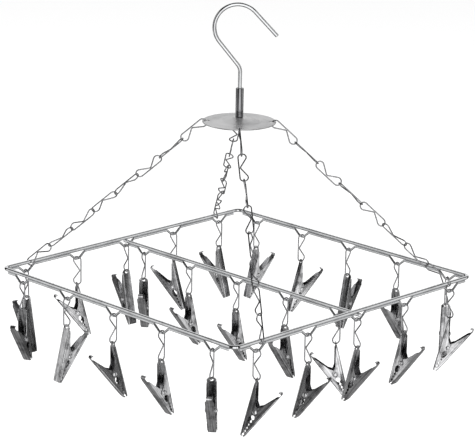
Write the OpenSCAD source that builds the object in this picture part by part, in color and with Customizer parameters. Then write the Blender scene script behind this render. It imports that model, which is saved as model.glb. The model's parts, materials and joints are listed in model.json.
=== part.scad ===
// Clip drying hanger: a square wire frame with a middle bar, hung by four
// chains of B-shaped wire links from a disc that swivels on a hook, with one
// spring clip on a link at each of its 25 notches.
// Millimetres, +Z up. The origin is the top of the hook's mouth, on the
// swivel axis, where the hook rests on a rail.

/* [Frame] */
// Side of the square frame, between rod centres
frame_side = 340; // [320:5:380]
// Diameter of the frame rod
rod_d = 4; // [3.6:0.1:4]
// Radius of the rod's bend at each corner
corner_r = 7; // [5:1:10]
// Diameter of the middle bar's rod
bar_d = 3.8; // [3.4:0.1:3.8]
// Height of the rod plane under the hang point
frame_drop = 278; // [265:1:290]

/* [Notches] */
// Diameter of the notched wire under the rods
notch_wire_d = 2.5; // [2:0.1:2.5]
// Distance between notches along a side
notch_pitch = 70; // [66:1:71]
// Distance between notches along the middle bar
bar_pitch = 71; // [68:1:71]
// Depth of a frame notch, from rod centre to wire centre
notch_drop = 9.6; // [9.6:0.1:10.5]
// Depth of a middle bar notch, from bar centre to wire centre
bar_notch_drop = 8.6; // [8.4:0.1:9.6]
// Slope of a notch's legs
notch_slope = 40; // [38:1:45]
// Length of the flat bottom of a notch
notch_flat = 3; // [2.6:0.1:3.4]

/* [Hook and disc] */
// Diameter of the hook wire
hook_d = 4; // [3.6:0.1:4]
// Radius of the hook's mouth, inside
mouth_r = 21.5; // [21:0.5:24]
// Length of the straight leg at the hook's tip
tip_leg = 32.5; // [24:0.5:36]
// Length of the sleeve
sleeve_len = 30; // [26:0.5:31]
// Outer diameter of the sleeve
sleeve_d = 8; // [7:0.1:9]
// Diameter of the disc
disc_d = 75; // [73:1:77]
// Height of the disc under the hang point
disc_drop = 118; // [118:0.5:124]
// Thickness of the disc's sheet
disc_t = 1; // [0.8:0.1:1.1]
// Height of the dome in the middle of the disc
dome_h = 4; // [3.2:0.1:4.2]

/* [Links] */
// Diameter of the link wire
link_d = 1.4; // [1.2:0.1:1.4]
// Width of a link between wire centres
link_w = 8.1; // [7.9:0.1:8.3]
// Links in each chain
chain_links = 8; // [8]
// Notch wire centre to the wire in the clip's eye
clip_drop = 28.5; // [27.5:0.5:30]

/* [Clips] */
// Rivet centre to jaw tip, along a jaw
jaw_len = 27.5; // [26:0.5:28.5]
// Rivet centre to eye centre, along a jaw
arm_len = 29.5; // [28:0.5:30.5]
// Rivet centre to the outside of a jaw's spine
spine_off = 8.2; // [8:0.1:8.6]
// Half of the angle between the two spines when closed
half_angle = 12; // [11.5:0.25:12.5]
// Thickness of the jaw sheet
sheet_t = 0.6; // [0.5:0.05:0.6]
// Width of the hanging jaw
jaw_w = 10; // [9.6:0.1:10.4]
// Width of the lever jaw, which nests in the hanging jaw
lever_w = 8.4; // [8:0.1:8.4]
// Diameter of the rivet
rivet_d = 2.6; // [2.4:0.1:2.8]
// Lean of a hanging clip's spine, which puts its weight under the notch
clip_lean = 14; // [14]

/* [Hidden] */
$fn = 40;
SIDES = ["front", "right", "back", "left", "middle"];
PLACES = [1, 2, 3, 4, 5];

STEEL = "silver";
SATIN = "darkgray";
DARK = "dimgray";
BRIGHT = "gainsboro";

// Air left between two pieces that touch, that are welded, and round a shaft
touch_gap = 0.15;
weld_gap = 0.02;
bore_gap = 0.1;
// A bend's growth in diameter, and what a straight runs into it
bend_swell = 1.01;
run_in = 0.1;

half_side = frame_side / 2;
rod_r = rod_d / 2;
frame_z = -frame_drop;
bar_z = frame_z - rod_r - bar_d / 2 - weld_gap;
// Bends of the notched wires, and how far rods and wires stop from the corners
notch_bend_r = 3;
frame_wire_short = 2;
bar_over = 6;
bar_wire_short = 12;

// Hook: the wire's centre line lies in a vertical plane turned by hook_turn
hook_turn = 45;
hook_r = mouth_r + hook_d / 2;
hook_side = -3;
hook_from = 43;
hook_to = 219;
hook_bend_r = 12;
shank_heading = hook_to - 180;
shank_start = [hook_side + hook_r * cos(hook_to), -mouth_r + hook_r * sin(hook_to)];
shank_run = -shank_start[0] / sin(shank_heading);
shank_turn_z = shank_start[1] - shank_run * cos(shank_heading);
bend_cut = hook_bend_r * tan(shank_heading / 2);

// Disc and the hook's head under it
disc_z = -disc_drop;
dome_top = disc_z + dome_h + disc_t / 2;
dome_r = 21;
dome_flat_r = 6;
shank_bore_r = hook_d / 2 + bore_gap;
chain_hole_r = 2.75;
chain_hole_at = disc_d / 2 - 4.7;
head_d = 8.4;
head_t = 2;
shank_end = dome_top - disc_t - 2 * bore_gap - head_t;

// Links
link_r = link_d / 2;
end_r = link_w / 2;
pinch_r = 2;
joint_overlap = link_d + touch_gap;

// Chains run from the disc's holes to the rods, all alike by symmetry
// The wire stands this far in from the hole's outer edge and over the disc
chain_wire_in = 1.48;
chain_wire_up = 0.48;
// The last link's lower end stands this far out from the rod, back from the
// last notch and under the rod
chain_end_out = 2;
chain_end_back = 4;
chain_end_under = 2.2;
chain_start = chain_hole_at + chain_hole_r - chain_wire_in;
chain_start_z = disc_z + chain_wire_up;
chain_end_x = half_side + chain_end_out;
chain_end_y = 2 * notch_pitch - chain_end_back;
chain_end_z = frame_z - chain_end_under;
chain_run = [chain_end_x - chain_start * cos(45), chain_end_y - chain_start * sin(45),
             chain_end_z - chain_start_z];
chain_len = norm(chain_run);
chain_pitch = (chain_len - joint_overlap) / chain_links;
chain_az = atan2(chain_run[1], chain_run[0]);
chain_tilt = acos(-chain_run[2] / chain_len);
// The last link's legs stand one on each side of the rod
last_roll = -atan(cos(chain_tilt) * tan(chain_az));
roll_step = 90 + last_roll / (chain_links - 1) + 90 / (chain_links - 1);

// Eye in the hanging jaw, the wire's air in it and the metal over it
eye_r = 1.75;
eye_air = 0.35;
eye_margin = 3;
// The side walls stop this far below the eye, and below the lever's end
wall_stop = 1.5;
lever_wall_stop = 3.5;
// Depth of a side wall at the arm's end and beside the window under the ear,
// and the shoulder's depth and height over the rivet
shallow_depth = 2.2;
window_depth = 4;
window_ends = [-10.5, -6.5];
shoulder = [6.4, 8.5];
wall_taper = 2;
// Ear round the rivet, from under it to the side of the other jaw
ear_r = 3.3;
ear_steps = 6;
ear_from = -80;
ear_sweep = 130;
ear_foot = [-2.5, -3.9];
// Teeth, and the air between the two jaws' teeth
mate_gap = 0.15;
tooth_count = 4;
tooth_h = 1.1;
teeth_top = 12.5;
tooth_end = [0.7, 1];
// Curl at the lever's end
curl_r = 1.4;
curl_w = 5.6;
curl_at = 0.3;
curl_turn = 170;
// Rivet heads
rivet_head_d = 4.6;
rivet_head_t = 1.4;
rivet_head_air = 0.05;
// Spring round the rivet and its straight legs
coil_r = 2.3;
spring_d = 0.8;
coil_ends = [-2.4, 1];
lever_ring_ends = [1.2, 2.2];
leg_slope = 23;
leg_len = 12.5;
leg_in = 0.2;
// The wire in the eye, over the wire that hangs on the notch
hang_wire = notch_wire_d / 2 + touch_gap + link_r;
clip_link_len = clip_drop + hang_wire;
eye_seat = eye_r - link_r - eye_air;

// Direction in which each clip's lever points, round from +X
clip_heading = [
    [-63, 87, -105, -87, -50],
    [27, 12, 9, 3, 33],
    [84, 63, 99, -84, 125],
    [170, -112, 171, -147, -170],
    [-50, -90, -87, -81, -129]];

// ---- Wires ----

// A bend of wire in the XZ plane, its centre at the origin; forming swells it
// a little, so that the straights run into it and not just up to it
module bend(r, wire_d, from, sweep) {
    rotate([90, 0, 0]) rotate([0, 0, from]) rotate_extrude(angle = sweep)
        translate([r, 0]) circle(d = wire_d * bend_swell);
}

// A straight wire from the origin, its direction turned from +X towards +Z,
// a little longer at both ends
module straight(length, wire_d, heading) {
    rotate([0, 90 - heading, 0]) translate([0, 0, -run_in])
        cylinder(d = wire_d, h = length + 2 * run_in);
}

// ---- Links ----

// A B-shaped link in the XZ plane, its top wire centre at the origin; the
// straight leg is on -X, and the other leg is pinched in until it touches
module link(length) {
    arc_z = length / 2 - end_r;
    pinch_x = end_r - link_d - touch_gap - pinch_r;
    reach = norm([arc_z, pinch_x]);
    turn = atan2(pinch_x, arc_z) + asin((end_r + pinch_r) / reach);
    leg_start = [-end_r * cos(turn), arc_z - end_r * sin(turn)];
    leg_end = [pinch_x + pinch_r * cos(turn), pinch_r * sin(turn)];
    leg = norm(leg_end - leg_start);
    translate([0, 0, -length / 2]) mirror([1, 0, 0]) {
        translate([end_r, 0, -arc_z]) straight(2 * arc_z, link_d, 90);
        translate([0, 0, arc_z]) bend(end_r, link_d, 0, 180 + turn);
        translate([0, 0, -arc_z]) bend(end_r, link_d, 180 - turn, 180 + turn);
        translate([pinch_x, 0, 0]) bend(pinch_r, link_d, -turn, 2 * turn);
        translate([leg_start[0], 0, leg_start[1]]) straight(leg, link_d, turn - 90);
        translate([leg_end[0], 0, -leg_end[1]]) straight(leg, link_d, -90 - turn);
    }
}

// One chain, hung from the disc towards the +X +Y part of the frame
module chain() {
    color(STEEL)
    translate([chain_start * cos(45), chain_start * sin(45), chain_start_z])
        rotate([0, -chain_tilt, chain_az])
            for (k = [0 : chain_links - 1])
                translate([0, 0, -k * chain_pitch])
                    rotate([0, 0, 180 + k * roll_step])
                        link(chain_pitch + joint_overlap);
}
module chain_right() { chain(); }
module chain_left() { rotate([0, 0, 180]) chain(); }
module chain_back() { mirror([1, 0, 0]) chain(); }
module chain_front() { mirror([0, 1, 0]) chain(); }

// ---- Hook ----

module hook() {
    color(STEEL) rotate([0, 0, hook_turn]) {
        translate([hook_side, 0, -mouth_r]) {
            bend(hook_r, hook_d, hook_from, hook_to - hook_from);
            rotate([0, -hook_from, 0]) translate([hook_r, 0, -tip_leg])
                straight(tip_leg, hook_d, 90);
        }
        translate([shank_start[0], 0, shank_start[1]])
            straight(shank_run - bend_cut, hook_d, shank_heading - 90);
        translate([-hook_bend_r, 0, shank_turn_z - bend_cut])
            bend(hook_bend_r, hook_d, 0, shank_heading);
        translate([0, 0, shank_end]) {
            straight(shank_turn_z - bend_cut - shank_end, hook_d, 90);
            cylinder(d = head_d, h = head_t);
        }
    }
}

module hook_sleeve() {
    color(DARK) translate([0, 0, dome_top + 2 * bore_gap])
        difference() {
            cylinder(d = sleeve_d, h = sleeve_len);
            translate([0, 0, -1]) cylinder(d = hook_d + bore_gap, h = sleeve_len + 2);
        }
}

// Flat rim, a cone up to the small flat top where the hook turns
module top_disc() {
    half_t = disc_t / 2;
    color(SATIN) translate([0, 0, disc_z]) difference() {
        rotate_extrude($fn = 96) polygon([
            [shank_bore_r, dome_h - half_t], [dome_flat_r, dome_h - half_t],
            [dome_r, -half_t], [disc_d / 2, -half_t], [disc_d / 2, half_t],
            [dome_r, half_t], [dome_flat_r, dome_h + half_t],
            [shank_bore_r, dome_h + half_t]]);
        for (a = [45 : 90 : 315])
            rotate([0, 0, a]) translate([chain_hole_at, 0, -disc_t])
                cylinder(r = chain_hole_r, h = 2 * disc_t);
    }
}

// ---- Frame ----

module frame_rod() {
    straight_len = frame_side - 2 * corner_r;
    color(STEEL) translate([0, 0, frame_z])
        for (a = [0 : 90 : 270]) rotate([0, 0, a]) {
            translate([-straight_len / 2, -half_side, 0]) rotate([0, 90, 0])
                cylinder(d = rod_d, h = straight_len);
            translate([straight_len / 2, -straight_len / 2, 0])
                rotate([0, 0, -90]) rotate_extrude(angle = 90)
                    translate([corner_r, 0]) circle(d = rod_d);
        }
}

// A wire along X with five notches, drop being the notch bottom's depth
// under the wire's straight stretches
module notched_wire(pitch, length, drop) {
    rise = notch_bend_r * (1 - cos(notch_slope));
    run = notch_bend_r * sin(notch_slope);
    leg = (drop - 2 * rise) / sin(notch_slope);
    reach = notch_flat / 2 + 2 * run + leg * cos(notch_slope);
    for (n = [-2 : 2]) translate([n * pitch, 0, 0]) {
        translate([-notch_flat / 2, 0, -drop]) straight(notch_flat, notch_wire_d, 0);
        for (m = [0, 1]) mirror([m, 0, 0]) {
            translate([notch_flat / 2, 0, notch_bend_r - drop])
                bend(notch_bend_r, notch_wire_d, -90, notch_slope);
            translate([notch_flat / 2 + run, 0, rise - drop])
                straight(leg, notch_wire_d, notch_slope);
            translate([reach, 0, -notch_bend_r])
                bend(notch_bend_r, notch_wire_d, 90, notch_slope);
        }
    }
    for (n = [-2 : 1]) translate([n * pitch + reach, 0, 0])
        straight(pitch - 2 * reach, notch_wire_d, 0);
    end_len = length / 2 - 2 * pitch - reach;
    for (m = [0, 1]) mirror([m, 0, 0]) translate([2 * pitch + reach, 0, 0])
        straight(end_len, notch_wire_d, 0);
}

// Where a notched wire runs under its rod
function under(rod) = -rod / 2 - notch_wire_d / 2 - weld_gap;

module frame_notch_wires() {
    wire_len = frame_side - 2 * corner_r - frame_wire_short;
    color(STEEL) translate([0, 0, frame_z + under(rod_d)])
        for (a = [0 : 90 : 270]) rotate([0, 0, a]) translate([0, -half_side, 0])
            notched_wire(notch_pitch, wire_len, notch_drop + under(rod_d));
}

module middle_bar() {
    bar_len = frame_side + bar_over;
    wire_len = frame_side - bar_wire_short;
    color(STEEL) translate([0, 0, bar_z]) {
        translate([-bar_len / 2, 0, 0]) rotate([0, 90, 0])
            cylinder(d = bar_d, h = bar_len);
        translate([0, 0, under(bar_d)])
            notched_wire(bar_pitch, wire_len, bar_notch_drop + under(bar_d));
    }
}

// ---- Clips ----

// Side wall of a jaw, drawn with X towards the other jaw and Y up its spine:
// shallow at the arm, deep at the ear, cut away under it, and toothed
function mate_x(y) = y * tan(half_angle) - mate_gap / cos(half_angle);
function wall_outline(top) = let(
    outer = -spine_off,
    shallow = outer + shallow_depth,
    window = outer + window_depth,
    tooth = (jaw_len - teeth_top) / tooth_count) concat(
    [[outer, -jaw_len], [mate_x(-jaw_len), -jaw_len]],
    [for (k = [0 : tooth_count - 1]) for (half = [0.5, 1])
        let(y = -jaw_len + (k + half) * tooth)
        [mate_x(y) - (half == 0.5 ? tooth_h : 0), y]],
    [[mate_x(-teeth_top) - tooth_end[0], tooth_end[1] - teeth_top],
     [window, window_ends[0]], [window, window_ends[1]], ear_foot],
    [for (k = [0 : ear_steps]) let(a = ear_from + k * ear_sweep / ear_steps)
        ear_r * [cos(a), sin(a)]],
    [[outer + shoulder[0], shoulder[1]], [shallow, top - wall_taper], [outer, top]]);

// Outline of a spine, with X across it and Y up it: a round end over the eye
// on the hanging jaw, a straight end under the curl on the lever
function round_end(half_w) = [for (a = [0 : 15 : 180])
    [half_w * cos(a), arm_len - wall_stop + (eye_margin + wall_stop) * sin(a)]];
function curl_end(half_w) = [
    [half_w, arm_len - lever_wall_stop], [curl_w / 2, arm_len - wall_stop],
    [curl_w / 2, arm_len + curl_at], [-curl_w / 2, arm_len + curl_at],
    [-curl_w / 2, arm_len - wall_stop], [-half_w, arm_len - lever_wall_stop]];

// One stamped half, width wide, its rivet centre at the origin, its spine on
// -X and the other half on +X
module jaw(width, bore_r, spine_end, wall_top) {
    half_w = width / 2;
    difference() {
        union() {
            translate([-spine_off, 0, 0]) rotate([90, 0, 90])
                linear_extrude(sheet_t)
                    polygon(concat([[-half_w, -jaw_len], [half_w, -jaw_len]], spine_end));
            for (side = [-1, 1])
                translate([0, side * (half_w - sheet_t / 2) + sheet_t / 2, 0])
                    rotate([90, 0, 0]) linear_extrude(sheet_t) polygon(wall_outline(wall_top));
        }
        translate([0, half_w + 1, 0]) rotate([90, 0, 0])
            cylinder(r = bore_r, h = width + 2);
        translate([-spine_off - 1, 0, arm_len]) rotate([0, 90, 0])
            cylinder(r = eye_r, h = sheet_t + 2);
    }
}

// A spring coil round the rivet between two Y stations, and its straight leg
// that rests inside the spine on -X
module spring_part(low, high) {
    leg_y = (low + high) / 2;
    translate([0, high, 0]) rotate([90, 0, 0]) difference() {
        cylinder(r = coil_r + spring_d / 2, h = high - low);
        translate([0, 0, -1]) cylinder(r = coil_r - spring_d / 2, h = high - low + 2);
    }
    translate([leg_in - coil_r, leg_y, 0]) rotate([0, -leg_slope, 0])
        cylinder(d = spring_d, h = leg_len);
}

module rivet() {
    reach = jaw_w / 2 + rivet_head_air;
    rotate([90, 0, 0]) {
        cylinder(d = rivet_d, h = 2 * reach + 1, center = true);
        for (m = [0, 1]) mirror([0, 0, m]) translate([0, 0, reach])
            intersection() {
                cylinder(d = rivet_head_d, h = rivet_head_t);
                translate([0, 0, rivet_head_t - rivet_head_d])
                    sphere(r = rivet_head_d);
            }
    }
}

// A clip's rivet centre, seen from the hanging eye's seat
eye_to_rivet = [spine_off - sheet_t / 2, -arm_len - eye_seat];

// Puts a clip's parts at its notch; n counts from 0
module at_notch(side, n) {
    bar = side == 4;
    along = (n - 2) * (bar ? bar_pitch : notch_pitch);
    spot = [[along, -half_side], [half_side, along], [along, half_side],
            [-half_side, along], [along, 0]][side];
    z = bar ? bar_z - bar_notch_drop : frame_z - notch_drop;
    translate([spot[0], spot[1], z]) children();
}
module at_rivet(side, n) {
    at_notch(side, n) rotate([0, 0, clip_heading[side][n]])
        translate([0, 0, -clip_drop]) rotate([0, clip_lean, 0])
            translate([eye_to_rivet[0], 0, eye_to_rivet[1]]) children();
}

// The link stands half-way between square to the wire and the clip's heading
module clip(side, n) {
    square_to = side == 1 || side == 3 ? 0 : 90;
    off = (clip_heading[side][n] - square_to + 450) % 180 - 90;
    color(BRIGHT) at_notch(side, n)
        rotate([0, 0, clip_heading[side][n] - off / 2])
            translate([0, 0, hang_wire]) link(clip_link_len);
    at_rivet(side, n) {
        color(STEEL) jaw(jaw_w, rivet_d / 2 + weld_gap, round_end(jaw_w / 2),
                         arm_len - wall_stop);
        color(SATIN) rivet();
        color(DARK) spring_part(coil_ends[0], coil_ends[1]);
    }
}

module lever(side, n) {
    at_rivet(side, n) rotate([0, 2 * half_angle, 0]) mirror([1, 0, 0]) {
        color(STEEL) {
            jaw(lever_w, rivet_d / 2 + bore_gap, curl_end(lever_w / 2),
                arm_len - lever_wall_stop);
            thumb_curl();
        }
        color(DARK) spring_part(lever_ring_ends[0], lever_ring_ends[1]);
    }
}

// The lever's end, rolled inwards
module thumb_curl() {
    translate([sheet_t + curl_r - spine_off, -curl_w / 2, arm_len + curl_at])
        rotate([-90, 0, 0]) rotate([0, 0, 180]) rotate_extrude(angle = curl_turn)
            translate([curl_r, 0]) square([sheet_t, curl_w]);
}

hook();
hook_sleeve();
top_disc();
frame_rod();
frame_notch_wires();
middle_bar();
chain_left();
chain_back();
chain_right();
chain_front();
for (s = [0 : 4]) for (n = [0 : 4]) {
    clip(s, n);
    lever(s, n);
}
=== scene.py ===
import json
import math
import bpy
from mathutils import Matrix, Vector
from mathutils.geometry import delaunay_2d_cdt


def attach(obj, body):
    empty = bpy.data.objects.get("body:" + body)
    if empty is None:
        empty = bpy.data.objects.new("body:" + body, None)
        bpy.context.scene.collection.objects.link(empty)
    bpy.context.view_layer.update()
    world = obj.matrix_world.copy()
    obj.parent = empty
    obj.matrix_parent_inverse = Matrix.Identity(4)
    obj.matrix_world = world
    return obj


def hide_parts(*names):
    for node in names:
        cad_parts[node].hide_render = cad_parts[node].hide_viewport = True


# A clip drying hanger in polished wire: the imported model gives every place,
# and the meshes here give its wires, stamped jaws, springs and surfaces.
# Shapes are worked out in millimetres and scaled once, in make_mesh().
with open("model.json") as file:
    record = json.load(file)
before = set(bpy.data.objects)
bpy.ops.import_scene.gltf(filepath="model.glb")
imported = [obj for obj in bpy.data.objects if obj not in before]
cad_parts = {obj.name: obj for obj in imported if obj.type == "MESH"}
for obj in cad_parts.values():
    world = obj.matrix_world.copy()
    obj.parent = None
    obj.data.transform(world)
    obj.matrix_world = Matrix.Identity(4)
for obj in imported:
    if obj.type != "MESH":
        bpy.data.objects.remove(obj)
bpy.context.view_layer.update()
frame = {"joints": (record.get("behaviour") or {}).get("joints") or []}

MM = 0.001
# The frame's four sides, and the bar across it
SIDES = ("front", "right", "back", "left", "middle")
JOINTS = {joint["name"]: joint for joint in frame["joints"]}

# Sizes shared with the CAD, in millimetres. First the rods and wires, the
# frame, and the V notches in its wires.
ROD_D, BAR_D, NOTCH_WIRE_D, HOOK_D, LINK_D = 4, 3.8, 2.5, 4, 1.4
FRAME_SIDE, FRAME_DROP, CORNER_R = 340, 278, 7
NOTCH_PITCH, BAR_PITCH = 70, 71
NOTCH_DROP, BAR_NOTCH_DROP = 9.6, 8.6
NOTCH_SLOPE, NOTCH_FLAT, NOTCH_BEND_R = math.radians(40), 3, 3
# How far, both ends together, the notched wires stop short and the bar
# reaches past the frame
FRAME_WIRE_SHORT, BAR_WIRE_SHORT, BAR_OVER = 2, 12, 6
# Air left where pieces touch, where they are welded, and round the shank
TOUCH_GAP, WELD_GAP, BORE_GAP = 0.15, 0.02, 0.1
BAR_Z = -FRAME_DROP - ROD_D / 2 - BAR_D / 2 - WELD_GAP

# Hook, its sleeve, the disc with its dome and chain holes, and the hook's head
MOUTH_R, TIP_LEG, HOOK_SIDE, HOOK_BEND_R = 21.5, 32.5, -3, 12
HOOK_TURN, HOOK_FROM, HOOK_TO = 45, 43, 219
SLEEVE_LEN, SLEEVE_D = 30, 8
DISC_D, DISC_DROP, DISC_T, DOME_H, DOME_R, DOME_FLAT_R = 75, 118, 1, 4, 21, 6
CHAIN_HOLE_R, CHAIN_HOLE_AT, CHAIN_HOLE_TURN = 2.75, DISC_D / 2 - 4.7, 45
HEAD_D, HEAD_T = 8.4, 2
DOME_TOP = -DISC_DROP + DOME_H + DISC_T / 2
FOOT_Z = DOME_TOP - DISC_T - 2 * BORE_GAP - HEAD_T

# Links, and where a chain's ends stand: in from its hole's edge and over the
# disc, then out from the rod, back from the last notch and under the rod
LINK_W, CHAIN_LINKS, PINCH_R, CLIP_DROP = 8.1, 8, 2, 28.5
CHAIN_WIRE_IN, CHAIN_WIRE_UP = 1.48, 0.48
CHAIN_END_OUT, CHAIN_END_BACK, CHAIN_END_UNDER = 2, 4, 2.2
HANG_WIRE = NOTCH_WIRE_D / 2 + TOUCH_GAP + LINK_D / 2

# Clip: its two jaws, their side walls, ears and teeth, the curl at the
# lever's end, the rivet and the spring
JAW_LEN, ARM_LEN, SPINE_OFF, HALF_ANGLE = 27.5, 29.5, 8.2, math.radians(12)
SHEET_T, JAW_W, LEVER_W, CLIP_LEAN = 0.6, 10, 8.4, math.radians(14)
EYE_R, EYE_MARGIN, WALL_STOP, LEVER_WALL_STOP = 1.75, 3, 1.5, 3.5
SHALLOW, WINDOW, WINDOW_ENDS, SHOULDER = 2.2, 4, (-10.5, -6.5), (6.4, 8.5)
WALL_TAPER = 2
EAR_R, EAR_FOOT, EAR_FROM, EAR_TO = 3.3, (-2.5, -3.9), -80, 50
MATE_GAP, TOOTH_COUNT, TOOTH_H, TEETH_TOP = 0.15, 4, 1.1, 12.5
TOOTH_END = (0.7, 1)
CURL_R, CURL_W, CURL_AT, CURL_TURN = 1.4, 5.6, 0.3, math.radians(170)
RIVET_D, RIVET_HEAD_D, RIVET_HEAD_AIR = 2.6, 4.6, 0.05
COIL_R, SPRING_D, LEG_SLOPE, COIL_ENDS = 2.3, 0.8, math.radians(23), (-2.4, 1.0)

# Details that only this script has, in millimetres
HEAD_ROUND, HEAD_CHAMFER = HEAD_T * 0.6, 0.2  # under and over the hook's head
BEND_EASE = 2.5  # how far a bend in the disc reaches to either side
RIM_WIDTH, RIM_SLOPE, RIM_EASE = 0.9, 0.35, 0.8  # the disc's turned-down edge
# Radii along which the disc's sheet is divided, close together at its bends
DISC_RINGS = (3, 3.6, 4.5, 5.5, 6.5, 7.5, 8.5, 12, 16, 18.5, 19.5, 20.5, 21.5,
              22.5, 23.5, 28, 35.8, 36.3, 36.8, 37.2)
DISC_STEPS, HOLE_STEPS, CHAIN_HOLE_STEPS = 96, 32, 28
DISC_GRAIN_R = 8  # the grain runs round the disc as it would round a tube of this radius
FOLD_R = 0.8  # middle of the sheet, round the fold between spine and wall
# A jaw's tip is bent in towards the other one, less and less up its walls
NOSE_LEN, NOSE_BEND, NOSE_FADE = 3.5, 0.3, 2
# Corners of the blank: beside the arm's end, at the foot of the curl's strip
# as (out, up), and at the curl's end
ARM_CORNER, CURL_FOOT, CURL_CORNER, CURL_CHAMFER = 0.3, (0.5, 1.3), 1.2, 0.4
EYE_RIM = 0.35  # sheet round the eye that is kept in one ring of faces
# Rivet head: a straight rim, a dome, and a dimple as (radius, height) points
RIVET_RIM, RIVET_DOME = 0.35, 0.8
RIVET_DIMPLE = ((0.55, 1.12), (0, 0.98))
# The spring's coil stays with the hanging jaw and its last ring turns with the
# lever; each has a leg that leaves it at a tangent
COIL_TURNS, LEVER_RING_ENDS, LEVER_RING_TURNS, LEG_LEN = 4, (1.1, 2.3), 1.5, 13
COIL_STEPS = 20  # in a turn

# Share of a wire's radius that rounds its cut ends, and share of a sheet's
# thickness that its cut edges bulge by
END_ROUND, EDGE_SWELL = 0.25, 0.18
SHARP_ANGLE = math.radians(38)
SAME_POINT = 1e-4  # points of a wire nearer than this count as one


# ---- Meshes ----

def make_mesh(name, verts, faces, form):
    """A smooth-shaded mesh from millimetres. form is a vector per vertex that
    runs with the shape, which the materials' grain follows."""
    mesh = bpy.data.meshes.new(name)
    mesh.from_pydata([Vector(v) * MM for v in verts], [], faces)
    grain = mesh.attributes.new("form", "FLOAT_VECTOR", "POINT")
    grain.data.foreach_set("vector", [x for v in form for x in v])
    mesh.polygons.foreach_set("use_smooth", [True] * len(mesh.polygons))
    mesh.set_sharp_from_angle(angle=SHARP_ANGLE)
    mesh.validate()
    return mesh


def arc(centre, radius, start, end, step=9):
    """Points of an arc, angles in degrees, about step degrees apart."""
    count = max(2, math.ceil(abs(end - start) / step))
    turns = (math.radians(start + (end - start) * i / count) for i in range(count + 1))
    return [(centre[0] + radius * math.cos(t), centre[1] + radius * math.sin(t))
            for t in turns]


def without_repeats(points, closed):
    """Points with any that fall on the one before them left out."""
    kept = []
    for p in points:
        if not kept or (p - kept[-1]).length > SAME_POINT:
            kept.append(p)
    if closed and (kept[0] - kept[-1]).length < SAME_POINT:
        kept.pop()
    return kept


def wire_mesh(name, points, diameter, closed=False, sides=14):
    """Round wire along points, its cut ends slightly rounded over."""
    line = without_repeats([Vector(p) for p in points], closed)
    count = len(line)
    tangents = []
    for i, p in enumerate(line):
        before = line[i - 1] if closed or i else p
        after = line[(i + 1) % count] if closed or i < count - 1 else p
        tangents.append((after - before).normalized())
    normal = tangents[0].orthogonal().normalized()
    radius = diameter / 2
    rings, along = [], 0.0
    for i, (p, t) in enumerate(zip(line, tangents)):
        normal = (normal - t * normal.dot(t)).normalized()
        if i:
            along += (p - line[i - 1]).length
        rings.append((p, normal.copy(), t.cross(normal), radius, along))
    if not closed:
        first, last = rings[0], rings[-1]
        soft = radius * END_ROUND
        rings.insert(0, (first[0] - tangents[0] * soft, first[1], first[2],
                         radius - soft, -soft))
        rings.append((last[0] + tangents[-1] * soft, last[1], last[2],
                      radius - soft, along + soft))
    verts, form, faces = [], [], []
    for p, n, b, r, s in rings:
        for k in range(sides):
            a = 2 * math.pi * k / sides
            verts.append(p + (n * math.cos(a) + b * math.sin(a)) * r)
            form.append((s, radius * math.cos(a), radius * math.sin(a)))
    total = len(rings)
    for i in range(total if closed else total - 1):
        j = (i + 1) % total
        for k in range(sides):
            m = (k + 1) % sides
            faces.append((i * sides + k, i * sides + m, j * sides + m, j * sides + k))
    if not closed:
        faces.append(tuple(range(sides - 1, -1, -1)))
        faces.append(tuple((total - 1) * sides + k for k in range(sides)))
    return make_mesh(name, verts, faces, form)


def lathe_mesh(name, profile, sides=32):
    """A closed ring of (radius, height) points turned about Z; a radius of 0
    at both ends makes it a solid instead."""
    solid = profile[0][0] == 0
    verts, form, faces = [], [], []
    rows, run = [], 0.0
    for i, (r, z) in enumerate(profile):
        if i:
            run += math.dist(profile[i - 1], (r, z))
        row = []
        for k in range(1 if r == 0 else sides):
            a = 2 * math.pi * k / sides
            row.append(len(verts))
            verts.append((r * math.cos(a), r * math.sin(a), z))
            form.append((r * math.cos(a), r * math.sin(a), run))
        rows.append(row)
    pairs = list(zip(rows, rows[1:])) + ([] if solid else [(rows[-1], rows[0])])
    for low, high in pairs:
        for k in range(sides):
            m = (k + 1) % sides
            corners = [low[k % len(low)], low[m % len(low)],
                       high[m % len(high)], high[k % len(high)]]
            faces.append(tuple(dict.fromkeys(corners)))
    return make_mesh(name, verts, faces, form)


def inside(point, outline):
    """Whether a point lies in an outline: a line from it crosses an odd
    number of the outline's sides."""
    x, y = point
    hit = False
    for (ax, ay), (bx, by) in zip(outline, outline[1:] + outline[:1]):
        if (ay > y) != (by > y) and x < (bx - ax) * (y - ay) / (by - ay) + ax:
            hit = not hit
    return hit


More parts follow.
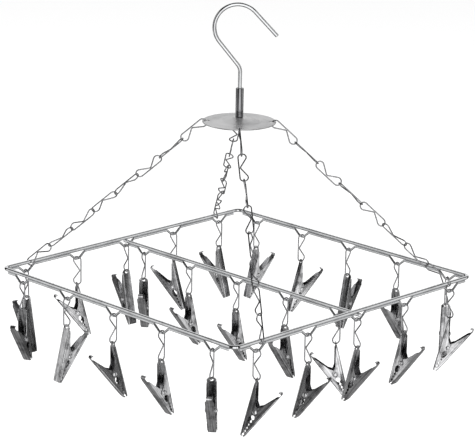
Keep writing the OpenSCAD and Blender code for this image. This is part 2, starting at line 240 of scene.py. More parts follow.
def sheet_mesh(name, outline, holes, guides, place, thickness, form_of):
    """Sheet metal from its flat blank. guides are lines that the blank is
    divided along, place(u, v) gives a flat point's (position, normal), and
    form_of(u, v) what the material's grain follows there."""
    points, edges = [], []
    for loop in [outline, *holes]:
        start = len(points)
        points += loop
        edges += [(start + i, start + (i + 1) % len(loop)) for i in range(len(loop))]
    for line in guides:
        start = len(points)
        points += line
        edges += [(start + i, start + i + 1) for i in range(len(line) - 1)]
    inside_only, nearness = 1, 1e-5
    flat, _, triangles, *_ = delaunay_2d_cdt(
        [Vector(p) for p in points], edges, [], inside_only, nearness)
    kept = []
    for tri in triangles:
        middle = sum((flat[i] for i in tri), Vector((0, 0))) / len(tri)
        if inside(middle, outline) and not any(inside(middle, h) for h in holes):
            kept.append(tri)
    used = sorted({i for tri in kept for i in tri})
    index = {old: new for new, old in enumerate(used)}
    count = len(used)
    placed = [place(*flat[i]) for i in used]
    verts = [p + n * thickness / 2 for p, n in placed]
    verts += [p - n * thickness / 2 for p, n in placed]
    form = [form_of(*flat[i]) for i in used] * 2
    # rim holds the sides that only one triangle has, in the order met
    faces, rim = [], {}
    for tri in kept:
        corners = [index[i] for i in tri]
        faces.append(tuple(corners))
        faces.append(tuple(count + i for i in reversed(corners)))
        for a, b in zip(corners, corners[1:] + corners[:1]):
            if (b, a) in rim:
                del rim[(b, a)]
            else:
                rim[(a, b)] = True
    after = {a: b for a, b in rim}
    before = {b: a for a, b in rim}
    swell = thickness * EDGE_SWELL
    middle_of = {}
    for a in after:
        here = placed[a][0]
        run = (placed[after[a]][0] - placed[before[a]][0]).normalized()
        middle_of[a] = len(verts)
        verts.append(here + run.cross(placed[a][1]).normalized() * swell)
        form.append(form[a])
    for a, b in rim:
        faces.append((b, a, middle_of[a], middle_of[b]))
        faces.append((middle_of[b], middle_of[a], count + a, count + b))
    return make_mesh(name, verts, faces, form)


def moved(mesh, matrix, name):
    """A copy of a mesh moved by a matrix in millimetres; a mirror turns its
    faces right side out again."""
    copy = mesh.copy()
    copy.name = name
    scale = Matrix.Scale(MM, 4)
    copy.transform(scale @ matrix @ scale.inverted())
    if matrix.determinant() < 0:
        copy.flip_normals()
    return copy


# ---- Materials ----

SEED_SHIFT = (37.0, 53.0, 71.0)  # how far one step of seed moves the grain
NICKED = (0.66, 0.72)  # noise over which a nick goes from none to full
STREAK = 0.35  # roughness that the grain's lines add, as a share


def metal(name, colour, dark, roughness, grain, grain_depth, blotch=0.02,
          scratch=0.4, bands=0.0):
    """Bare metal whose grain follows the form attribute. grain is the noise's
    scale along each direction of form, per millimetre, blotch is the scale of
    the slow changes in colour and polish, and bands darkens along the grain."""
    mat = bpy.data.materials.new(name)
    mat.use_nodes = True
    nodes, links = mat.node_tree.nodes, mat.node_tree.links
    shader = nodes["Principled BSDF"]
    shader.inputs["Metallic"].default_value = 1.0
    shader.inputs["Specular IOR Level"].default_value = 0.5

    form = nodes.new("ShaderNodeAttribute")
    form.attribute_name = "form"
    seed = nodes.new("ShaderNodeAttribute")
    seed.attribute_type = "OBJECT"
    seed.attribute_name = "seed"
    shift = nodes.new("ShaderNodeVectorMath")
    shift.operation = "MULTIPLY_ADD"
    shift.inputs[1].default_value = SEED_SHIFT
    links.new(seed.outputs["Fac"], shift.inputs[0])
    links.new(form.outputs["Vector"], shift.inputs[2])

    def noise(scale, detail, rough):
        stretch = nodes.new("ShaderNodeVectorMath")
        stretch.operation = "MULTIPLY"
        stretch.inputs[1].default_value = scale
        links.new(shift.outputs[0], stretch.inputs[0])
        tex = nodes.new("ShaderNodeTexNoise")
        tex.inputs["Scale"].default_value = 1.0
        tex.inputs["Detail"].default_value = detail
        tex.inputs["Roughness"].default_value = rough
        links.new(stretch.outputs[0], tex.inputs["Vector"])
        return tex.outputs["Fac"]

    def remap(value, low, high, to_low, to_high):
        """Eases low to high into to_low to to_high, and stops at both ends."""
        node = nodes.new("ShaderNodeMapRange")
        node.interpolation_type = "SMOOTHSTEP"
        for socket, number in zip(("From Min", "From Max", "To Min", "To Max"),
                                  (low, high, to_low, to_high)):
            node.inputs[socket].default_value = number
        links.new(value, node.inputs["Value"])
        return node.outputs["Result"]

    def add(a, b):
        node = nodes.new("ShaderNodeMath")
        node.operation = "ADD"
        links.new(a, node.inputs[0])
        links.new(b, node.inputs[1])
        return node.outputs[0]

    slow = noise((blotch,) * 3, detail=4, rough=0.6)
    lines = noise(grain, detail=5, rough=0.7)
    nicks = noise([g * 0.45 for g in grain], detail=2, rough=0.5)
    broad = noise([g * 0.2 for g in grain], detail=3, rough=0.6)

    tone = nodes.new("ShaderNodeMix")
    tone.data_type = "RGBA"
    tone.inputs["A"].default_value = (*colour, 1)
    tone.inputs["B"].default_value = (*dark, 1)
    patches = add(remap(slow, 0.42, 0.72, 0, 0.7), remap(broad, 0.42, 0.6, 0, bands))
    links.new(add(patches, remap(nicks, *NICKED, 0, scratch)), tone.inputs["Factor"])
    links.new(tone.outputs["Result"], shader.inputs["Base Color"])

    dull = add(remap(slow, 0.35, 0.7, roughness * 0.8, roughness * 1.35),
               remap(lines, 0.35, 0.7, 0, roughness * STREAK))
    links.new(add(dull, remap(nicks, *NICKED, 0, 0.12)), shader.inputs["Roughness"])

    bump = nodes.new("ShaderNodeBump")
    bump.inputs["Distance"].default_value = grain_depth * MM
    bump.inputs["Strength"].default_value = 0.6
    links.new(lines, bump.inputs["Height"])
    scored = nodes.new("ShaderNodeBump")
    scored.invert = True
    scored.inputs["Distance"].default_value = grain_depth * 2 * MM
    scored.inputs["Strength"].default_value = 0.5
    links.new(remap(nicks, *NICKED, 0, 1), scored.inputs["Height"])
    links.new(bump.outputs["Normal"], scored.inputs["Normal"])
    links.new(scored.outputs["Normal"], shader.inputs["Normal"])
    return mat


DRAWN = (0.05, 2.2, 2.2)   # along the wire, then across it twice
ROLLED = (0.12, 4.0, 1.0)  # along the sheet, then across it
TURNED = (0.25, 0.25, 6.0)  # round the axis twice, then along the profile
wire_chrome = metal("wire_chrome", (0.80, 0.81, 0.82), dark=(0.50, 0.50, 0.51),
                    roughness=0.10, grain=DRAWN, grain_depth=0.010)
link_wire = metal("link_wire", (0.46, 0.46, 0.47), dark=(0.22, 0.22, 0.23),
                  roughness=0.16, grain=DRAWN, grain_depth=0.012, blotch=0.06)
sleeve_dark = metal("sleeve_dark", (0.34, 0.34, 0.35), dark=(0.18, 0.18, 0.19),
                    roughness=0.10, grain=TURNED, grain_depth=0.008, blotch=0.08)
disc_satin = metal("disc_satin", (0.66, 0.66, 0.665), dark=(0.52, 0.52, 0.53),
                   roughness=0.38, grain=TURNED, grain_depth=0.006, blotch=0.03, scratch=0.25)
clip_steel = metal("clip_steel", (0.74, 0.74, 0.75), dark=(0.16, 0.16, 0.165),
                   roughness=0.17, grain=ROLLED, grain_depth=0.02, blotch=0.09, scratch=0.6, bands=0.55)
lever_steel = metal("lever_steel", (0.70, 0.70, 0.71), dark=(0.15, 0.15, 0.155),
                    roughness=0.18, grain=ROLLED, grain_depth=0.02, blotch=0.09, scratch=0.6, bands=0.55)
rivet_steel = metal("rivet_steel", (0.80, 0.80, 0.81), dark=(0.45, 0.45, 0.46),
                    roughness=0.22, grain=TURNED, grain_depth=0.010, blotch=0.3)
spring_steel = metal("spring_steel", (0.42, 0.42, 0.43), dark=(0.18, 0.18, 0.19),
                     roughness=0.24, grain=DRAWN, grain_depth=0.010, blotch=0.1)


# ---- Pieces ----

def piece(name, mesh, material, body, slot, *nodes, at=Matrix.Identity(4), seed=0.0):
    """Puts a mesh at a place in millimetres, on a CAD body, for CAD nodes."""
    obj = bpy.data.objects.new(name, mesh)
    bpy.context.scene.collection.objects.link(obj)
    if not mesh.materials:
        mesh.materials.append(material)
    place = at.copy()
    place.translation = at.translation * MM
    obj.matrix_world = place
    obj["seed"] = float(seed)
    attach(obj, body)
    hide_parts(*nodes)


def turn(degrees, axis):
    return Matrix.Rotation(math.radians(degrees), 4, axis)


def shift(x, y, z):
    return Matrix.Translation((x, y, z))


def upright(points, y=0):
    """Points drawn in a plane, X across and Y up, stood up in XZ."""
    return [Vector((p[0], y, p[1])) for p in points]


# Hook: its wire lies in a plane turned HOOK_TURN from XZ
def hook_line():
    """From the tip round the mouth and down the shank into the head."""
    hook_r = MOUTH_R + HOOK_D / 2
    centre = Vector((HOOK_SIDE, -MOUTH_R))
    start = math.radians(HOOK_FROM)
    tip = centre + hook_r * Vector((math.cos(start), math.sin(start))) \
        - TIP_LEG * Vector((-math.sin(start), math.cos(start)))
    heading = math.radians(HOOK_TO - 180)
    end = math.radians(HOOK_TO)
    shank = centre + hook_r * Vector((math.cos(end), math.sin(end)))
    run = -shank.x / math.sin(heading)
    turn_z = shank.y - run * math.cos(heading)
    cut = HOOK_BEND_R * math.tan(heading / 2)
    return upright([tip] + arc(centre, hook_r, HOOK_FROM, HOOK_TO, step=4)
                   + arc((-HOOK_BEND_R, turn_z - cut), HOOK_BEND_R,
                         math.degrees(heading), 0, step=4)
                   + [(0, FOOT_Z + HEAD_T / 2)])


piece("hook_wire", wire_mesh("hook_wire", hook_line(), HOOK_D, sides=24),
      wire_chrome, "hook_body", "wire_chrome", "hook", at=turn(HOOK_TURN, "Z"))
head_mesh = lathe_mesh("hook_head", [(0, 0)] + [
    (HEAD_D / 2 - HEAD_ROUND * (1 - math.sin(a)), HEAD_ROUND * (1 - math.cos(a)))
    for a in (math.radians(15 * k) for k in range(7))]
    + [(HEAD_D / 2, HEAD_T - HEAD_CHAMFER), (HEAD_D / 2 - HEAD_CHAMFER, HEAD_T),
       (0, HEAD_T)])
piece("hook_head", head_mesh, wire_chrome, "hook_body", "wire_chrome", "hook",
      at=shift(0, 0, FOOT_Z))

rim_cut = 0.5
sleeve_bore = (HOOK_D + BORE_GAP) / 2
piece("hook_sleeve_tube", lathe_mesh("hook_sleeve_tube", [
    (sleeve_bore, rim_cut / 2), (sleeve_bore + rim_cut / 2, 0),
    (SLEEVE_D / 2 - rim_cut, 0)]
    + arc((SLEEVE_D / 2 - rim_cut, rim_cut), rim_cut, -90, 0, step=22.5)
    + arc((SLEEVE_D / 2 - rim_cut, SLEEVE_LEN - rim_cut), rim_cut, 0, 90, step=22.5)
    + [(sleeve_bore + rim_cut / 2, SLEEVE_LEN),
       (sleeve_bore, SLEEVE_LEN - rim_cut / 2)], sides=40),
    sleeve_dark, "hook_body", "sleeve_dark", "hook_sleeve",
    at=shift(0, 0, DOME_TOP + 2 * BORE_GAP))


# Disc: pressed sheet, its dome eased into the flat rim
def eased_bend(r, at, slope, ease=BEND_EASE):
    """Height and slope that a bend at radius `at` adds beyond it."""
    t = min(max(r - at + ease, 0), 2 * ease)
    over = max(r - at - ease, 0)
    return slope * (t * t / (4 * ease) + over), slope * t / (2 * ease)


def on_disc(x, y):
    """Position and normal of the disc's sheet over a point of its plan."""
    r = math.hypot(x, y)
    cone = DOME_H / (DOME_R - DOME_FLAT_R)
    bends = [eased_bend(r, DOME_FLAT_R, -cone), eased_bend(r, DOME_R, cone),
             eased_bend(r, DISC_D / 2 - RIM_WIDTH, -RIM_SLOPE, RIM_EASE)]
    z = DOME_H + sum(b[0] for b in bends)
    slope = sum(b[1] for b in bends)
    out = Vector((x, y, 0)) / r
    return Vector((x, y, z)), (Vector((0, 0, 1)) - out * slope).normalized()


def ring(radius, count, centre=(0, 0)):
    """A circle as count points, the last one not joined to the first."""
    return [(centre[0] + radius * math.cos(2 * math.pi * k / count),
             centre[1] + radius * math.sin(2 * math.pi * k / count))
            for k in range(count)]


def disc_form(x, y):
    r = math.hypot(x, y)
    return (DISC_GRAIN_R * x / r, DISC_GRAIN_R * y / r, r)


disc_guides = [ring(r, DISC_STEPS) + [(r, 0)] for r in DISC_RINGS]
chain_holes = [ring(CHAIN_HOLE_R, CHAIN_HOLE_STEPS,
                    (CHAIN_HOLE_AT * math.cos(a), CHAIN_HOLE_AT * math.sin(a)))
               for a in (math.radians(CHAIN_HOLE_TURN + 90 * k) for k in range(4))]
piece("top_disc_plate", sheet_mesh(
    "top_disc_plate", ring(DISC_D / 2 - EDGE_SWELL * DISC_T, DISC_STEPS),
    [ring(HOOK_D / 2 + BORE_GAP, HOLE_STEPS)] + chain_holes,
    disc_guides, on_disc, DISC_T, disc_form),
    disc_satin, "hanger", "disc_satin", "top_disc", at=shift(0, 0, -DISC_DROP))


# Frame: one rod bent round into a square, and a bar across it
def rounded_square(half, radius):
    inner = half - radius
    corners = [(inner, -inner, -90), (inner, inner, 0),
               (-inner, inner, 90), (-inner, -inner, 180)]
    return [p for x, y, start in corners for p in arc((x, y), radius, start, start + 90)]


piece("frame_rod_wire", wire_mesh(
    "frame_rod_wire",
    [(x, y, -FRAME_DROP) for x, y in rounded_square(FRAME_SIDE / 2, CORNER_R)],
    ROD_D, closed=True, sides=24),
    wire_chrome, "hanger", "wire_chrome", "frame_rod")
bar_half = (FRAME_SIDE + BAR_OVER) / 2
piece("middle_bar_rod", wire_mesh(
    "middle_bar_rod", [(-bar_half, 0, BAR_Z), (bar_half, 0, BAR_Z)], BAR_D, sides=24),
    wire_chrome, "hanger", "wire_chrome", "middle_bar")


def notch_line(pitch, length, drop):
    """Centre line of a wire along X with a notch at each of five places."""
    rise = NOTCH_BEND_R * (1 - math.cos(NOTCH_SLOPE))
    leg = (drop - 2 * rise) / math.sin(NOTCH_SLOPE)
    reach = (NOTCH_FLAT / 2 + 2 * NOTCH_BEND_R * math.sin(NOTCH_SLOPE)
             + leg * math.cos(NOTCH_SLOPE))
    slope = math.degrees(NOTCH_SLOPE)
    half = (arc((NOTCH_FLAT / 2, NOTCH_BEND_R - drop), NOTCH_BEND_R, -90, slope - 90)
            + arc((reach, -NOTCH_BEND_R), NOTCH_BEND_R, 90 + slope, 90))
    notch = [(-x, z) for x, z in reversed(half)] + half
    line = [(-length / 2, 0)]
    for n in range(-2, 3):
        line += [(x + n * pitch, z) for x, z in notch]
    return upright(line + [(length / 2, 0)])


under_rod = -ROD_D / 2 - NOTCH_WIRE_D / 2 - WELD_GAP
side_wire = wire_mesh("side_notch_wire", notch_line(
    NOTCH_PITCH, FRAME_SIDE - 2 * CORNER_R - FRAME_WIRE_SHORT,
    NOTCH_DROP + under_rod), NOTCH_WIRE_D)
for k, side in enumerate(SIDES[:4]):
    piece(f"notch_wire_{side}", side_wire, wire_chrome, "hanger", "wire_chrome",
          "frame_notch_wires", seed=k, at=turn(90 * k, "Z")
          @ shift(0, -FRAME_SIDE / 2, under_rod - FRAME_DROP))
under_bar = -BAR_D / 2 - NOTCH_WIRE_D / 2 - WELD_GAP
piece("notch_wire_middle", wire_mesh("bar_notch_wire", notch_line(
    BAR_PITCH, FRAME_SIDE - BAR_WIRE_SHORT, BAR_NOTCH_DROP + under_bar), NOTCH_WIRE_D),
    wire_chrome, "hanger", "wire_chrome", "middle_bar",
    at=shift(0, 0, BAR_Z + under_bar))


# Links: B-shaped, the wire's two ends meeting at the pinch
def link_mesh(name, length):
    """A link that hangs from the origin, between its ends' centre lines."""
    end_r = LINK_W / 2
    arc_z = length / 2 - end_r
    pinch_x = end_r - LINK_D - TOUCH_GAP - PINCH_R
    reach = math.hypot(arc_z, pinch_x)
    lean = math.degrees(math.atan2(pinch_x, arc_z) + math.asin((end_r + PINCH_R) / reach))
    apart = 3  # degrees of the pinch between its middle and either end
    line = (arc((pinch_x, 0), PINCH_R, apart, lean)
            + arc((0, arc_z), end_r, 180 + lean, 0)
            + arc((0, -arc_z), end_r, 360, 180 - lean)
            + arc((pinch_x, 0), PINCH_R, -lean, -apart))
    return wire_mesh(name, upright([(-x, z - length / 2) for x, z in line]), LINK_D,
                     sides=12)


chain_start = CHAIN_HOLE_AT + CHAIN_HOLE_R - CHAIN_WIRE_IN
hole_az = math.radians(CHAIN_HOLE_TURN)
run_from = Vector((chain_start * math.cos(hole_az), chain_start * math.sin(hole_az),
                   CHAIN_WIRE_UP - DISC_DROP))
run_to = Vector((FRAME_SIDE / 2 + CHAIN_END_OUT, 2 * NOTCH_PITCH - CHAIN_END_BACK,
                 -FRAME_DROP - CHAIN_END_UNDER))
chain_run = run_to - run_from
joint_overlap = LINK_D + TOUCH_GAP
chain_pitch = (chain_run.length - joint_overlap) / CHAIN_LINKS
chain_tilt = math.acos(-chain_run.z / chain_run.length)
chain_az = math.atan2(chain_run.y, chain_run.x)
# The last link's legs stand one on each side of the rod
last_roll = -math.degrees(math.atan(math.cos(chain_tilt) * math.tan(chain_az)))
roll_step = 90 + (last_roll + 90) / (CHAIN_LINKS - 1)
chain_frame = (Matrix.Translation(run_from) @ Matrix.Rotation(chain_az, 4, "Z")
               @ Matrix.Rotation(-chain_tilt, 4, "Y"))
flip_x, flip_y = Matrix.Scale(-1, 4, (1, 0, 0)), Matrix.Scale(-1, 4, (0, 1, 0))
chain_link = link_mesh("chain_link", chain_pitch + joint_overlap)
CHAINS = {"right": Matrix.Identity(4), "left": turn(180, "Z"),
          "back": flip_x, "front": flip_y}
for c, (side, whole) in enumerate(CHAINS.items()):
    for k in range(CHAIN_LINKS):
        at = (whole @ chain_frame @ shift(0, 0, -k * chain_pitch)
              @ turn(180 + k * roll_step, "Z"))
        # A link is alike on both faces, so the mirrored one is a turned one
        if at.determinant() < 0:
            at = at @ flip_y
        piece(f"chain_{side}_link_{k + 1}", chain_link, link_wire, "hanger",
              "link_wire", f"chain_{side}", at=at, seed=10 * c + k)


# ---- Clips ----

FOLD_FROM = SHEET_T / 2 + FOLD_R   # from the wall's outside to the fold's start
FOLD_RUN = FOLD_R * math.pi / 2
BESIDE_FOLD = 0.15  # from a fold to the guide lines on its two sides
GUIDE_SHORT = 1     # what those lines stop short of the side wall's end
# Parts that the fold, the nose, the curl and the top over the eye divide into
FOLD_STEPS, NOSE_STEPS, CURL_STEPS, TOP_STEPS = 6, 5, 18, 12


def wall_edge(top):
    """Free edge of a side wall, as (x towards the other jaw, y up the spine)."""
    def mate_x(y):
        return y * math.tan(HALF_ANGLE) - MATE_GAP / math.cos(HALF_ANGLE)
    tooth = (JAW_LEN - TEETH_TOP) / TOOTH_COUNT
    edge = [(mate_x(-JAW_LEN), -JAW_LEN)]
    for k in range(TOOTH_COUNT):
        low, high = -JAW_LEN + (k + 0.5) * tooth, -JAW_LEN + (k + 1) * tooth
        edge += [(mate_x(low) - TOOTH_H, low), (mate_x(high), high)]
    edge += [(mate_x(-TEETH_TOP) - TOOTH_END[0], TOOTH_END[1] - TEETH_TOP),
             (WINDOW - SPINE_OFF, WINDOW_ENDS[0]), (WINDOW - SPINE_OFF, WINDOW_ENDS[1]),
             EAR_FOOT]
    edge += arc((0, 0), EAR_R, EAR_FROM, EAR_TO, step=15)
    edge += [(SHOULDER[0] - SPINE_OFF, SHOULDER[1]), (SHALLOW - SPINE_OFF, top - WALL_TAPER)]
    return edge


def jaw_mesh(name, width, with_eye):
    """A stamped half, from its flat blank: u across, v up the spine."""
    fold_u = width / 2 - FOLD_FROM
    middle_x = -SPINE_OFF + SHEET_T / 2
    curl_v, curl_r = ARM_LEN + CURL_AT, CURL_R + SHEET_T / 2
    end_v = ARM_LEN - (WALL_STOP if with_eye else LEVER_WALL_STOP)

    def flat_u(x):
        return fold_u + FOLD_RUN + (x - middle_x - FOLD_R)

    side = [(max(flat_u(x), fold_u), v) for x, v in wall_edge(end_v)]
    if with_eye:
        top = [((width / 2) * math.cos(a), end_v + (EYE_MARGIN + WALL_STOP) * math.sin(a))
               for a in (math.radians(90 * k / TOP_STEPS) for k in range(1, TOP_STEPS))]
        crest = [(0, end_v + EYE_MARGIN + WALL_STOP)]
    else:
        end_of_curl = curl_v + curl_r * CURL_TURN
        top = [(CURL_W / 2 + CURL_FOOT[0], end_v + CURL_FOOT[1]),
               (CURL_W / 2, ARM_LEN - WALL_STOP),
               (CURL_W / 2, end_of_curl - CURL_CORNER),
               (CURL_W / 2 - CURL_CHAMFER, end_of_curl - CURL_CHAMFER),
               (CURL_W / 2 - CURL_CORNER, end_of_curl)]
        crest = []
    right = side + [(width / 2 - ARM_CORNER, end_v)] + top
    outline = right + crest + [(-u, v) for u, v in reversed(right)]

    def place(u, v):
        sign = 1 if u >= 0 else -1
        past = abs(u) - fold_u
        if past <= 0:
            x, w, nx, nw = middle_x, abs(u), -1, 0
        elif past < FOLD_RUN:
            a = past / FOLD_R
            x = middle_x + FOLD_R * (1 - math.cos(a))
            w = fold_u + FOLD_R * math.sin(a)
            nx, nw = -math.cos(a), math.sin(a)
        else:
            x = middle_x + FOLD_R + past - FOLD_RUN
            w, nx, nw = width / 2 - SHEET_T / 2, 0, 1
        z, nz = v, 0
        nose = max(NOSE_LEN - JAW_LEN - v, 0) / NOSE_LEN
        if nose:
            x += NOSE_BEND * nose ** 2 * max(0, 1 - (x - middle_x) / NOSE_FADE)
            nz = nx * 2 * NOSE_BEND * nose / NOSE_LEN
        if not with_eye and v > curl_v:
            a = (v - curl_v) / curl_r
            x, z = middle_x + curl_r * (1 - math.cos(a)), curl_v + curl_r * math.sin(a)
            nx, nz = -math.cos(a), math.sin(a)
        return Vector((x, sign * w, z)), Vector((nx, sign * nw, nz)).normalized()

    guides = []
    for sign in (-1, 1):
        for step in range(FOLD_STEPS + 1):
            u = sign * (fold_u + FOLD_RUN * step / FOLD_STEPS)
            guides.append([(u, -JAW_LEN), (u, end_v - GUIDE_SHORT)])
        for u in (fold_u - BESIDE_FOLD, fold_u + FOLD_RUN + BESIDE_FOLD):
            guides.append([(sign * u, -JAW_LEN), (sign * u, end_v - GUIDE_SHORT)])
    for step in range(1, NOSE_STEPS + 1):
        v = NOSE_LEN * step / NOSE_STEPS - JAW_LEN
        guides.append([(-fold_u - FOLD_RUN, v), (fold_u + FOLD_RUN, v)])
    holes = []
    if with_eye:
        holes.append(ring(EYE_R, HOLE_STEPS, (0, ARM_LEN)))
        rim_r = EYE_R + EYE_RIM
        guides.append(ring(rim_r, HOLE_STEPS, (0, ARM_LEN)) + [(rim_r, ARM_LEN)])
    else:
        for step in range(CURL_STEPS):
            v = curl_v + curl_r * CURL_TURN * step / CURL_STEPS
            guides.append([(-CURL_W / 2, v), (CURL_W / 2, v)])
    return sheet_mesh(name, outline, holes, guides, place, SHEET_T,
                      lambda u, v: (v, u, 0))


def spring_mesh(name, ends, turns):
    """Coils round the rivet from one Y to another, and the leg that leaves
    them at a tangent to lie in the spine."""
    low, high = ends
    points = []
    leave = math.pi + LEG_SLOPE
    steps = round(turns * COIL_STEPS)
    half = SPRING_D / 2
    for i in range(steps + 1):
        a = leave + 2 * math.pi * turns * (1 - i / steps)
        y = low + half + (high - low - SPRING_D) * i / steps
        points.append((COIL_R * math.cos(a), y, COIL_R * math.sin(a)))
    x, y, z = points[-1]
    points.append((x - LEG_LEN * math.sin(LEG_SLOPE), y, z + LEG_LEN * math.cos(LEG_SLOPE)))
    return wire_mesh(name, points, SPRING_D, sides=10)


def rivet_mesh():
    """Shank and both heads, along Z."""
    reach = JAW_W / 2 + RIVET_HEAD_AIR
    head = RIVET_HEAD_D / 2
    dome = [(head, reach), (head, reach + RIVET_RIM)] + [
        (head * math.cos(a), reach + RIVET_RIM + RIVET_DOME * math.sin(a))
        for a in (math.radians(18 * k) for k in range(1, 5))]
    dome += [(r, reach + z) for r, z in RIVET_DIMPLE]
    half = [(RIVET_D / 2, reach)] + dome
    return lathe_mesh("clip_rivet", [(r, -z) for r, z in reversed(half)] + half,
                      sides=24)


hanging_jaw = jaw_mesh("clip_jaw", JAW_W, True)
lever_jaw = moved(jaw_mesh("lever_blank", LEVER_W, False), flip_x, "lever_jaw")
clip_spring = spring_mesh("clip_spring", COIL_ENDS, COIL_TURNS)
lever_spring = moved(spring_mesh("lever_ring", LEVER_RING_ENDS, LEVER_RING_TURNS),
                     flip_x, "lever_spring")
rivet = moved(rivet_mesh(), turn(90, "X"), "clip_rivet_across")
clip_link = link_mesh("clip_link", CLIP_DROP + HANG_WIRE)

for s, side in enumerate(SIDES):
    for n in range(1, 6):
        place_name = f"{side}_{n}"
        clip, lever = f"clip_{place_name}", f"lever_{place_name}"
        notch = Vector(JOINTS[f"swing_{place_name}"]["pos_m"]) / MM
        pin = Vector(JOINTS[f"squeeze_{place_name}"]["pos_m"]) / MM
        axis = JOINTS[f"squeeze_{place_name}"]["axis"]
        heading = math.degrees(math.atan2(axis[0], -axis[1]))
        seed = 100 + 10 * s + n

        # The link turns half way from square across its wire to the clip's heading
        square_to = 0 if side in ("right", "left") else 90
        off = (heading - square_to + 450) % 180 - 90
        hang = Matrix.Translation(notch) @ turn(heading - off / 2, "Z")
        piece(f"{clip}_link", clip_link, link_wire, clip, "link_wire", clip,
              at=hang @ shift(0, 0, HANG_WIRE), seed=seed)
        body = (Matrix.Translation(pin) @ turn(heading, "Z")
                @ Matrix.Rotation(CLIP_LEAN, 4, "Y"))
        piece(f"{clip}_jaw", hanging_jaw, clip_steel, clip, "clip_steel", clip,
              at=body, seed=seed)
        piece(f"{clip}_rivet", rivet, rivet_steel, clip, "clip_steel", clip,
              at=body, seed=seed)
        piece(f"{clip}_spring", clip_spring, spring_steel, clip, "clip_steel", clip,
              at=body, seed=seed)
        opened = body @ Matrix.Rotation(2 * HALF_ANGLE, 4, "Y")
        piece(f"{lever}_jaw", lever_jaw, lever_steel, lever, "lever_steel", lever,
              at=opened, seed=seed + 0.5)
        piece(f"{lever}_spring", lever_spring, spring_steel, lever, "lever_steel",
              lever, at=opened, seed=seed + 0.5)


# ---- Camera, floor and light ----

CAMERA_AZ, CAMERA_EL, CAMERA_ROLL = (math.radians(a) for a in (45.15, 15.89, 1.0))
CAMERA_FAR, CAMERA_LENS, TARGET_Z = 2.364, 174.8, -0.2224
FLOOR_Z, FLOOR_R, FLOOR_STEPS = -0.62, 14, 64

# From the target back to the camera, and the picture's right and up
target = Vector((0, 0, TARGET_Z))
back = Vector((math.sin(CAMERA_AZ) * math.cos(CAMERA_EL),
               -math.cos(CAMERA_AZ) * math.cos(CAMERA_EL), math.sin(CAMERA_EL)))
right = Vector((math.cos(CAMERA_AZ), math.sin(CAMERA_AZ), 0))
up = back.cross(right)
cam_x = right * math.cos(CAMERA_ROLL) + up * math.sin(CAMERA_ROLL)
cam_y = back.cross(cam_x)
camera = bpy.data.objects.new("camera", bpy.data.cameras.new("camera"))
camera.data.lens = CAMERA_LENS
camera.data.clip_start, camera.data.clip_end = 0.05, 60
camera.matrix_world = Matrix((cam_x, cam_y, back)).transposed().to_4x4()
camera.location = target + back * CAMERA_FAR
bpy.context.scene.collection.objects.link(camera)
bpy.context.scene.camera = camera


def area_light(name, at, size, power):
    """A lamp that faces the hanger and that metal doesn't mirror."""
    light = bpy.data.objects.new(name, bpy.data.lights.new(name, "AREA"))
    light.data.shape = "RECTANGLE"
    light.data.size, light.data.size_y = size
    light.data.energy = power
    light.location = at
    towards = target - Vector(at)
    light.rotation_euler = towards.to_track_quat("-Z", "Y").to_euler()
    light.visible_glossy = False
    bpy.context.scene.collection.objects.link(light)


area_light("top_light", at=(0.3, -0.2, 2.2), size=(2.2, 2.2), power=42)
area_light("front_light", at=(2.4, -1.4, 1.2), size=(1.2, 1.8), power=14)

floor_mesh = bpy.data.meshes.new("floor")
floor_mesh.from_pydata([(x, y, FLOOR_Z) for x, y in ring(FLOOR_R, FLOOR_STEPS)], [],
                       [tuple(range(FLOOR_STEPS))])
floor = bpy.data.objects.new("floor", floor_mesh)
bpy.context.scene.collection.objects.link(floor)
floor_mat = bpy.data.materials.new("floor")
floor_mat.use_nodes = True
floor_shader = floor_mat.node_tree.nodes["Principled BSDF"]
floor_shader.inputs["Base Color"].default_value = (0.93, 0.93, 0.93, 1)
floor_shader.inputs["Roughness"].default_value = 0.9
floor_shader.inputs["Specular IOR Level"].default_value = 0.0
floor_mesh.materials.append(floor_mat)
floor.visible_glossy = False


# Soft boxes round the hanger, as degrees round from the camera, half width in
# degrees, lowest and highest sine of elevation, and strength, with dark card
# between them
SOFT_BOXES = ((0, 22, -0.60, 0.62, 1.3), (34, 6, -0.60, 0.62, 1.5),
              (88, 16, -0.40, 0.55, 0.8), (-88, 16, -0.40, 0.50, 0.75),
              (178, 38, 0.02, 0.75, 0.85))
# Softness of their tops and bottoms as a sine, and of their sides in degrees
SOFTNESS, SIDE_SOFTNESS = 0.12, 4
OVERHEAD, FLOOR_BOUNCE, PLAIN = 0.06, 0.30, 0.96


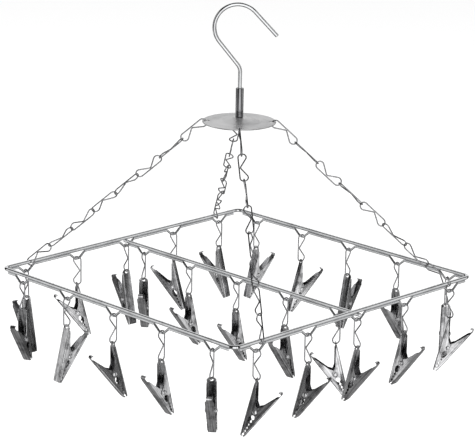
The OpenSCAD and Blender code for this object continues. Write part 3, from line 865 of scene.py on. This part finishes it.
def studio_world():
    """A plain pale surround, in which bare metal sees the soft boxes."""
    world = bpy.data.worlds.new("studio")
    bpy.context.scene.world = world
    world.use_nodes = True
    nodes, links = world.node_tree.nodes, world.node_tree.links
    background = nodes["Background"]
    out = nodes["World Output"]
    where = nodes.new("ShaderNodeTexCoord").outputs["Generated"]

    def vector_math(operation, value, number=None):
        node = nodes.new("ShaderNodeVectorMath")
        node.operation = operation
        links.new(value, node.inputs[0])
        if number:
            node.inputs[1].default_value = number
        return node.outputs["Value" if operation == "DOT_PRODUCT" else "Vector"]

    def edge(value, low, high, strength):
        """Rises softly from 0 to strength as value goes from low to high."""
        node = nodes.new("ShaderNodeMapRange")
        node.interpolation_type = "SMOOTHSTEP"
        node.inputs["From Min"].default_value = low
        node.inputs["From Max"].default_value = high
        node.inputs["To Max"].default_value = strength
        links.new(value, node.inputs["Value"])
        return node.outputs["Result"]

    def math_node(operation, a, b):
        node = nodes.new("ShaderNodeMath")
        node.operation = operation
        links.new(a, node.inputs[0])
        links.new(b, node.inputs[1])
        return node.outputs[0]

    def add(a, b):
        return math_node("ADD", a, b)

    def scaled(a, b):
        return math_node("MULTIPLY", a, b)

    level = vector_math("NORMALIZE", vector_math("MULTIPLY", where, (1, 1, 0)))
    height = vector_math("DOT_PRODUCT", where, (0, 0, 1))
    depth = vector_math("DOT_PRODUCT", where, (0, 0, -1))
    above = edge(height, low=0.70, high=0.85, strength=OVERHEAD)
    below = edge(depth, low=0.05, high=0.6, strength=FLOOR_BOUNCE)
    glow = add(above, below)
    for turned, half_width, bottom, top, strength in SOFT_BOXES:
        a = CAMERA_AZ + math.radians(turned)
        facing = vector_math("DOT_PRODUCT", level, (math.sin(a), -math.cos(a), 0))
        low, high = (math.cos(math.radians(half_width + soft))
                     for soft in (SIDE_SOFTNESS, -SIDE_SOFTNESS))
        across = edge(facing, low, high, strength)
        tall = scaled(edge(height, bottom - SOFTNESS, bottom, 1),
                      edge(height, top + SOFTNESS, top, 1))
        glow = add(glow, scaled(across, tall))
    links.new(glow, background.inputs["Color"])

    plain = nodes.new("ShaderNodeBackground")
    plain.inputs["Color"].default_value = (PLAIN, PLAIN, PLAIN, 1)
    path = nodes.new("ShaderNodeLightPath")
    choose = nodes.new("ShaderNodeMixShader")
    links.new(path.outputs["Is Glossy Ray"], choose.inputs["Fac"])
    links.new(plain.outputs[0], choose.inputs[1])
    links.new(background.outputs[0], choose.inputs[2])
    links.new(choose.outputs[0], out.inputs["Surface"])


studio_world()
bpy.context.scene.view_settings.view_transform = "Standard"
